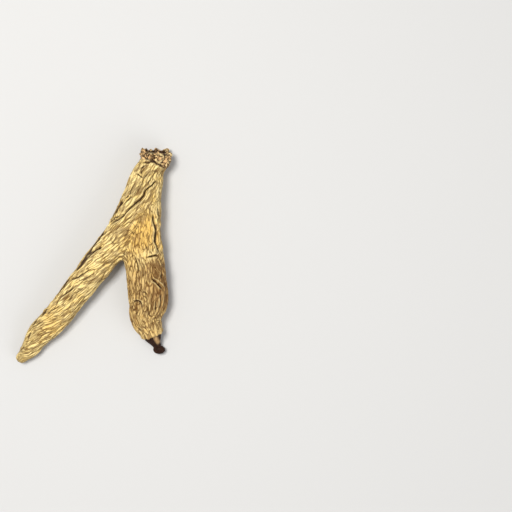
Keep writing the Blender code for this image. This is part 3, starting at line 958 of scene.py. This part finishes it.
    def build(self) -> Object:
        """Build the carved skin, ready for its finish.

        Returns:
            The root's object, which rides on the frame and stands for its solid.
        """
        root = add_object("root_skin", self.limbs())
        self.fuse(root)
        self.soften_web(root.data)
        mesh = root.data
        points, normals = read_vectors(mesh.vertices, "co"), read_vectors(mesh.vertices, "normal")
        out, masks = self.carving(points, normals)
        points = self.settle(points + normals * out[:, None])
        points = self.fit(points, *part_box(NODE))
        mesh.vertices.foreach_set("co", points.ravel())
        for mask, values in masks.items():
            write_mask(mesh, mask, values)
        mesh.update()
        self.thin(root)
        root.data.shade_smooth()
        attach(root, BODY)
        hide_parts(NODE)
        log.info("root_skin: %d points, %d faces", len(root.data.vertices), len(root.data.polygons))
        return root


def read_vectors(items: bpy.types.bpy_prop_collection, name: str) -> Array:
    """Read a vector property of every item of a mesh.

    Args:
        items: The mesh's items, such as its vertices.
        name: The property.

    Returns:
        One row an item.
    """
    values = np.empty(len(items) * 3)
    items.foreach_get(name, values)
    return values.reshape(-1, 3)


def write_mask(mesh: Mesh, mask: Mask, values: Array) -> None:
    """Write a mask on a mesh as an attribute of its points.

    Args:
        mesh: The mesh.
        mask: Which mask it is.
        values: One number a point, or three.
    """
    kind, key = ("FLOAT_VECTOR", "vector") if values.ndim == 2 else ("FLOAT", "value")
    attribute = mesh.attributes.new(mask.value, kind, "POINT")
    attribute.data.foreach_set(key, values.astype(np.float32).ravel())


def new_material(name: str) -> tuple[Material, Node]:
    """Make a material.

    Args:
        name: Its name.

    Returns:
        The material and its shader.
    """
    material = bpy.data.materials.new(name)
    material.use_nodes = True
    return material, material.node_tree.nodes["Principled BSDF"]


@dataclass
class Sheet:
    """A node tree that is being wired."""

    tree: NodeTree

    FIRST_COLOUR = 6
    SECOND_COLOUR = 7
    MIXED_COLOUR = 2

    def feed(self, node: Node, feeds: dict[str | int, Feed]) -> None:
        """Feed some of a node's inputs.

        Args:
            node: The node.
            feeds: Another node's output, or a plain value, by input.
        """
        for key, source in feeds.items():
            if isinstance(source, Socket):
                self.tree.links.new(source, node.inputs[key])
            else:
                node.inputs[key].default_value = source

    def node(self, kind: str, feeds: dict[str | int, Feed], **settings: object) -> Node:
        """Add a node.

        Args:
            kind: Its type.
            feeds: What its inputs take.
            settings: Its own settings.

        Returns:
            The node.
        """
        node = self.tree.nodes.new(kind)
        for name, value in settings.items():
            setattr(node, name, value)
        self.feed(node, feeds)
        return node

    def math(self, operation: str, first: Feed, second: Feed = 0.0) -> Socket:
        """Work out one sum."""
        return self.node("ShaderNodeMath", {0: first, 1: second}, operation=operation).outputs[0]

    def times(self, first: Feed, second: Feed) -> Socket:
        """Multiply two values."""
        return self.math("MULTIPLY", first, second)

    def mix(self, share: Feed, first: Feed, second: Feed) -> Socket:
        """Mix two colours, with that share of the second."""
        feeds = {"Factor": share, self.FIRST_COLOUR: first, self.SECOND_COLOUR: second}
        return self.node("ShaderNodeMix", feeds, data_type="RGBA").outputs[self.MIXED_COLOUR]

    def span(self, value: Feed, low: float, high: float, start: float = 0, end: float = 1) -> Socket:
        """Take values from low to high smoothly to results from start to end."""
        feeds = dict(enumerate((value, low, high, start, end)))
        return self.node("ShaderNodeMapRange", feeds, interpolation_type="SMOOTHSTEP").outputs[0]

    def mask(self, mask: Mask) -> Socket:
        """Read one of the carving's masks."""
        node = self.node("ShaderNodeAttribute", {}, attribute_name=mask.value)
        return node.outputs["Vector" if mask in (Mask.PLACE, Mask.WRINKLES) else "Fac"]

    def noise(self, place: Socket, sizes: Triple, detail: float, roughness: float = 0.5) -> Socket:
        """Read noise at a place, from 0 to 1.

        Args:
            place: The place.
            sizes: Size of the pattern along each axis.
            detail: How many finer layers it has.
            roughness: How strong they are.

        Returns:
            The noise.
        """
        stretched = self.node("ShaderNodeVectorMath", {0: place, 1: sizes}, operation="DIVIDE").outputs[0]
        feeds = {"Vector": stretched, "Scale": 1.0, "Detail": detail, "Roughness": roughness}
        return self.node("ShaderNodeTexNoise", feeds).outputs["Fac"]

    def line(self, value: Socket, width: float) -> Socket:
        """Draw thin lines, of that half width, where a value passes 0."""
        settings = {"node_tree": bpy.data.node_groups["thin_line"]}
        return self.node("ShaderNodeGroup", {"Value": value, "Width": width}, **settings).outputs["Line"]


def line_group() -> None:
    """Make the group that draws a thin line where a value passes 0.

    Its output is 1 in the middle of a line and 0 beside it.
    """
    tree = bpy.data.node_groups.new("thin_line", "ShaderNodeTree")
    for name, way in (("Value", "INPUT"), ("Width", "INPUT"), ("Line", "OUTPUT")):
        tree.interface.new_socket(name, in_out=way, socket_type="NodeSocketFloat")
    sheet = Sheet(tree)
    given = sheet.node("NodeGroupInput", {}).outputs
    share = sheet.math("DIVIDE", sheet.math("ABSOLUTE", given["Value"]), given["Width"])
    sheet.node("NodeGroupOutput", {"Line": sheet.span(share, LINE_CORE, 1.0, 1.0, 0.0)})


@dataclass(frozen=True)
class SkinFinish:
    """The dried skin's colours and relief.

    Attributes:
        pale: The cream mixed over the skin in a mottle, less on the short leg and less in furrows, where
            its loss is painted shade; also the painted highlight on fold lips, and the collar's flakes.
        straw: The yellow of the long leg.
        amber: The orange patches.
        tan: The duller short leg.
        dull_and_shade_brown: The dull patches: darker skin, and painted shade on the short leg's right
            flank.
        furrow: The dark brown of the wrinkle and hair lines, painted shade on the furrows' floors that
            stands in for the shade the bump can't cast; also the colour of the fine brown specks.
        pit: The near-black painted as shade on the floors of folds and scars, in the collar's sunken pits
            and inside the hollow ends; also the colour of the collar's cracks.
        bark: The collar, and the painted highlight down the right of the stub's neck.
        stub: The dark rootlet stub: the knob's own near-black brown, and painted shadow on its neck.
        line_widths: Half widths of the lines in the three layers of wrinkles, as shares of a furrow.
        line_strengths: How dark they are on the long leg, and on the short one.
        hair_strengths: The same for the hair lines.
        hair_sizes: Size of the finest lines' pattern along and round a limb.
        hair_width: Half width of those lines.
        crack_width: Half width of the cracks in the collar, as a value of its noise.
        roughness: Of ridges and of furrows.
        gloss: Strength of its sheen.
        relief: Height of the finest wrinkles, in metres.
        heights: Of a carved line and of a hair line, as shares of the relief.
        patches: Size in millimetres and detail of the noise that warms the skin.
        mottle: The same for the noise that breaks up the pale ridges.
        flakes: The same for the collar's flakes.
        grain: The same for the finest brown specks.
        spot_roughness: How rough all four are.
        patch_span: Low and high of a value, and the result at each. So are all the spans.
        crack_share: How dark the collar's cracks are.
        hollow_shade_share: How dark the painted shade inside the hollow ends is.
        highlight_share: How pale the painted highlight down the right of the stub's neck is.
    """

    pale: Colour = (0.93, 0.76, 0.37, 1.0)
    straw: Colour = (0.80, 0.54, 0.14, 1.0)
    amber: Colour = (0.72, 0.40, 0.06, 1.0)
    tan: Colour = (0.62, 0.38, 0.11, 1.0)
    dull_and_shade_brown: Colour = (0.32, 0.17, 0.05, 1.0)
    furrow: Colour = (0.11, 0.042, 0.007, 1.0)
    pit: Colour = (0.022, 0.008, 0.003, 1.0)
    bark: Colour = (0.74, 0.47, 0.21, 1.0)
    stub: Colour = (0.020, 0.005, 0.002, 1.0)
    line_widths: Triple = (0.13, 0.34, 0.38)
    line_strengths: Rows = ((0.5, 0.7), (0.65, 0.8), (0.6, 0.75))
    hair_strengths: Pair = (0.65, 0.7)
    hair_sizes: Triple = (6.0, 1.1, 1.1)
    hair_width: float = 0.1
    crack_width: float = 0.06
    roughness: Pair = (0.55, 0.85)
    gloss: float = 0.2
    relief: float = 0.00028
    heights: Pair = (-1.0, -0.5)
    patches: Pair = (14.0, 3.0)
    mottle: Pair = (2.5, 4.0)
    flakes: Pair = (1.9, 3.0)
    grain: Pair = (0.6, 3.0)
    spot_roughness: float = 0.6
    patch_span: Span = (0.50, 0.75, -0.1, 0.3)
    furrow_shade_span: Span = (0.0, 0.5, 1.0, 0.7)
    mottle_span: Span = (0.3, 0.6, 0.4, 1.0)
    tan_span: Span = (0.0, 1.0, 0.75, 0.4)
    amber_span: Span = (0.0, 1.0, 0.0, 0.8)
    dull_and_shade_span: Span = (-1.0, 0.0, 0.75, 0.0)
    flake_span: Span = (0.02, 0.14, 0.0, 0.9)
    crag_shade_span: Pair = (0.04, 0.2)
    lip_highlight_span: Span = (-0.35, -0.1, 0.5, 0.0)
    fold_shade_span: Span = (0.14, 0.8, 0.0, 0.95)
    grain_span: Span = (0.25, 0.75, 0.2, 0.0)
    crack_share: float = 0.95
    hollow_shade_share: float = 0.85
    highlight_share: float = 0.7

    def lines(self, sheet: Sheet) -> tuple[Socket, Socket]:
        """Draw the three layers of carved wrinkles, and hair lines between them, as lines of painted
        shade on the furrows' floors.

        Args:
            sheet: The material's nodes.

        Returns:
            The carved wrinkles' lines and the hair lines.
        """
        split = sheet.node("ShaderNodeSeparateXYZ", {0: sheet.mask(Mask.WRINKLES)})
        short = sheet.mask(Mask.SHORT)
        carved = 0.0
        for value, width, strengths in zip(split.outputs, self.line_widths, self.line_strengths):
            line = sheet.times(sheet.line(value, width), sheet.span(short, 0.0, 1.0, *strengths))
            carved = sheet.math("MAXIMUM", line, carved)
        value = sheet.noise(sheet.mask(Mask.PLACE), self.hair_sizes, 1.0)
        hair = sheet.line(sheet.math("SUBTRACT", value, NOISE_MIDDLE), self.hair_width)
        return carved, sheet.times(hair, sheet.span(short, 0.0, 1.0, *self.hair_strengths))

    def spots(self, sheet: Sheet, size: float, detail: float) -> Socket:
        """Read even noise on the root, with patches of a size in millimetres."""
        spot = sheet.node("ShaderNodeTexCoord", {}).outputs["Object"]
        return sheet.noise(spot, (size * MM,) * 3, detail, self.spot_roughness)

    def skin_colour(self, sheet: Sheet, carved: Socket, hair: Socket) -> Socket:
        """Colour the limbs' wrinkled skin.

        Args:
            sheet: The material's nodes.
            carved: The carved wrinkles' lines.
            hair: The hair lines.

        Returns:
            The colour.
        """
        short, furrow = sheet.mask(Mask.SHORT), sheet.mask(Mask.FURROW)
        patch, mottle = self.spots(sheet, *self.patches), self.spots(sheet, *self.mottle)
        warm_and_shade = sheet.math("ADD", sheet.mask(Mask.WARM_AND_SHADE), sheet.span(patch, *self.patch_span))
        # Painted shade: less pale cream where the furrows are deep.
        ridge = sheet.times(sheet.span(furrow, *self.furrow_shade_span), sheet.span(mottle, *self.mottle_span))
        ridge = sheet.times(ridge, sheet.span(short, *self.tan_span))
        base = sheet.mix(ridge, sheet.mix(short, self.straw, self.tan), self.pale)
        base = sheet.mix(sheet.span(warm_and_shade, *self.amber_span), base, self.amber)
        # Dull patches: darker skin, and painted shade on the short leg's right flank.
        base = sheet.mix(sheet.span(warm_and_shade, *self.dull_and_shade_span), base, self.dull_and_shade_brown)
        # Painted shade: the hair and wrinkle lines darken the furrows' floors to the furrow brown.
        base = sheet.mix(hair, base, self.furrow)
        return sheet.mix(carved, base, self.furrow)

    def colour(self, sheet: Sheet, skin: Socket) -> Socket:
        """Colour the whole root.

        Args:
            sheet: The material's nodes.
            skin: The colour of the limbs' skin.

        Returns:
            The colour.
        """
        flake = sheet.math("SUBTRACT", self.spots(sheet, *self.flakes), NOISE_MIDDLE)
        crack = sheet.times(sheet.line(flake, self.crack_width), self.crack_share)
        bark = sheet.mix(sheet.span(flake, *self.flake_span), self.bark, self.pale)
        # Painted shade: the collar's sunken pits, where the crag value is low, go near-black.
        bark = sheet.mix(sheet.span(sheet.mask(Mask.CRAG), *self.crag_shade_span), self.pit, bark)
        bark = sheet.mix(crack, bark, self.pit)
        base = sheet.mix(sheet.mask(Mask.COLLAR), skin, bark)
        fold = sheet.mask(Mask.FOLD_SHADE)
        # Painted highlight: the raised lips beside folds go pale.
        base = sheet.mix(sheet.span(fold, *self.lip_highlight_span), base, self.pale)
        # Painted shade: the floors of folds and scars go near-black.
        base = sheet.mix(sheet.span(fold, *self.fold_shade_span), base, self.pit)
        # Painted shade: the insides of the hollow ends go near-black.
        base = sheet.mix(sheet.times(sheet.mask(Mask.HOLLOW_SHADE), self.hollow_shade_share), base, self.pit)
        # The stub: painted shadow on its neck, and a painted highlight in bark colour down its right
        # side.
        stub = sheet.mix(sheet.times(sheet.mask(Mask.HIGHLIGHT_STRIP), self.highlight_share), self.stub, self.bark)
        base = sheet.mix(sheet.mask(Mask.STUB), base, stub)
        return sheet.mix(sheet.span(self.spots(sheet, *self.grain), *self.grain_span), base, self.furrow)

    def build(self) -> Material:
        """Make the material.

        Returns:
            The dried skin.
        """
        line_group()
        material, shader = new_material("dried_root_skin")
        sheet = Sheet(material.node_tree)
        carved, hair = self.lines(sheet)
        height = sheet.math("ADD", *map(sheet.times, (carved, hair), self.heights))
        bump = sheet.node("ShaderNodeBump", {"Strength": 1.0, "Distance": self.relief, "Height": height})
        sheet.feed(shader, {
            "Base Color": self.colour(sheet, self.skin_colour(sheet, carved, hair)),
            "Roughness": sheet.span(carved, 0.0, 1.0, *self.roughness),
            "Specular IOR Level": self.gloss,
            "Normal": bump.outputs["Normal"],
        })
        return material


@dataclass(frozen=True)
class FloorFinish:
    """A plain pale floor."""

    colour: Colour = (0.54, 0.54, 0.54, 1.0)
    roughness: float = 0.9

    def build(self) -> Material:
        """Make the material.

        Returns:
            The floor's finish.
        """
        material, shader = new_material("pale_floor")
        Sheet(material.node_tree).feed(shader, {"Base Color": self.colour, "Roughness": self.roughness})
        return material


@dataclass(frozen=True)
class Lamp:
    """A square soft lamp that faces the root.

    Attributes:
        name: What it is.
        way: Its direction from the root.
        distance: How far off it is, in metres.
        size: Its side, in metres.
        power: In watts.
        colour: Of its light.
    """

    name: str
    way: Triple
    distance: float
    size: float
    power: float
    colour: Triple = (1.0, 1.0, 1.0)

    def build(self) -> None:
        """Hang the lamp."""
        data = bpy.data.lights.new(self.name, "AREA")
        data.size = self.size
        data.energy = self.power
        data.color = self.colour
        lamp = add_object(self.name, data)
        way = Vector(self.way).normalized()
        lamp.location = way * self.distance
        lamp.rotation_euler = way.to_track_quat("Z", "Y").to_euler()


@dataclass
class Studio:
    """The floor, the lamps and the camera.

    Attributes:
        lamps: The lamps.
        sky: Strength of the even light from all round.
        floor_size: The floor's side, in metres.
        pixel: Millimetres to a pixel at the root's middle height.
        image: The picture's side, in pixels.
        aim: The picture's middle, in the stations' own x and y.
        height: Height of the root's widest line, in millimetres.
        lens: Focal length, in millimetres.
    """

    lamps: tuple[Lamp, ...] = (
        Lamp("key_lamp", (-0.22, 0.18, 1.0), 0.9, 0.30, 9.0, (1.0, 0.98, 0.94)),
        Lamp("fill_lamp", (0.7, -0.6, 0.5), 1.2, 0.9, 5.0),
    )
    sky: float = 0.42
    floor_size: float = 4.0
    pixel: float = 0.42
    image: int = 512
    aim: Pair = (68.04, -0.21)
    height: float = 8.0
    lens: float = 85.0

    def build_floor(self) -> None:
        """Lay the floor."""
        bm = bmesh.new()
        bmesh.ops.create_grid(bm, x_segments=1, y_segments=1, size=self.floor_size / 2)
        floor = add_object("floor", finished_mesh("floor", bm))
        floor.data.materials.append(FloorFinish().build())

    def build_camera(self, middle: Array) -> None:
        """Set the camera straight above the picture's middle.

        Args:
            middle: The middle of the root's box, in the stations' own x and y.
        """
        data = bpy.data.cameras.new("camera")
        data.lens = self.lens
        distance = self.image * self.pixel * self.lens / data.sensor_width
        camera = add_object("camera", data)
        x, y = np.array(self.aim) - middle[:2]
        camera.location = Vector((x, y, self.height + distance)) * MM
        bpy.context.scene.camera = camera

    def build_sky(self) -> None:
        """Give the even light from all round."""
        world = bpy.data.worlds.new("studio")
        world.use_nodes = True
        background = world.node_tree.nodes["Background"]
        background.inputs["Color"].default_value = (1.0, 1.0, 1.0, 1.0)
        background.inputs["Strength"].default_value = self.sky
        bpy.context.scene.world = world

    def build(self, middle: Array) -> None:
        """Build the whole studio.

        Args:
            middle: The middle of the root's box, in the stations' own x and y.
        """
        self.build_floor()
        self.build_camera(middle)
        self.build_sky()
        for lamp in self.lamps:
            lamp.build()
        bpy.context.scene.view_settings.view_transform = "Standard"
        log.info("studio: %d lamps", len(self.lamps))


def main() -> None:
    """Build the root and the studio."""
    logging.basicConfig(level=logging.INFO, format="%(name)s: %(message)s")
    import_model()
    skin = RootSkin()
    root = skin.build()
    root.data.materials.append(SkinFinish().build())
    Studio().build(skin.middle)


if __name__ == "__main__":
    main()
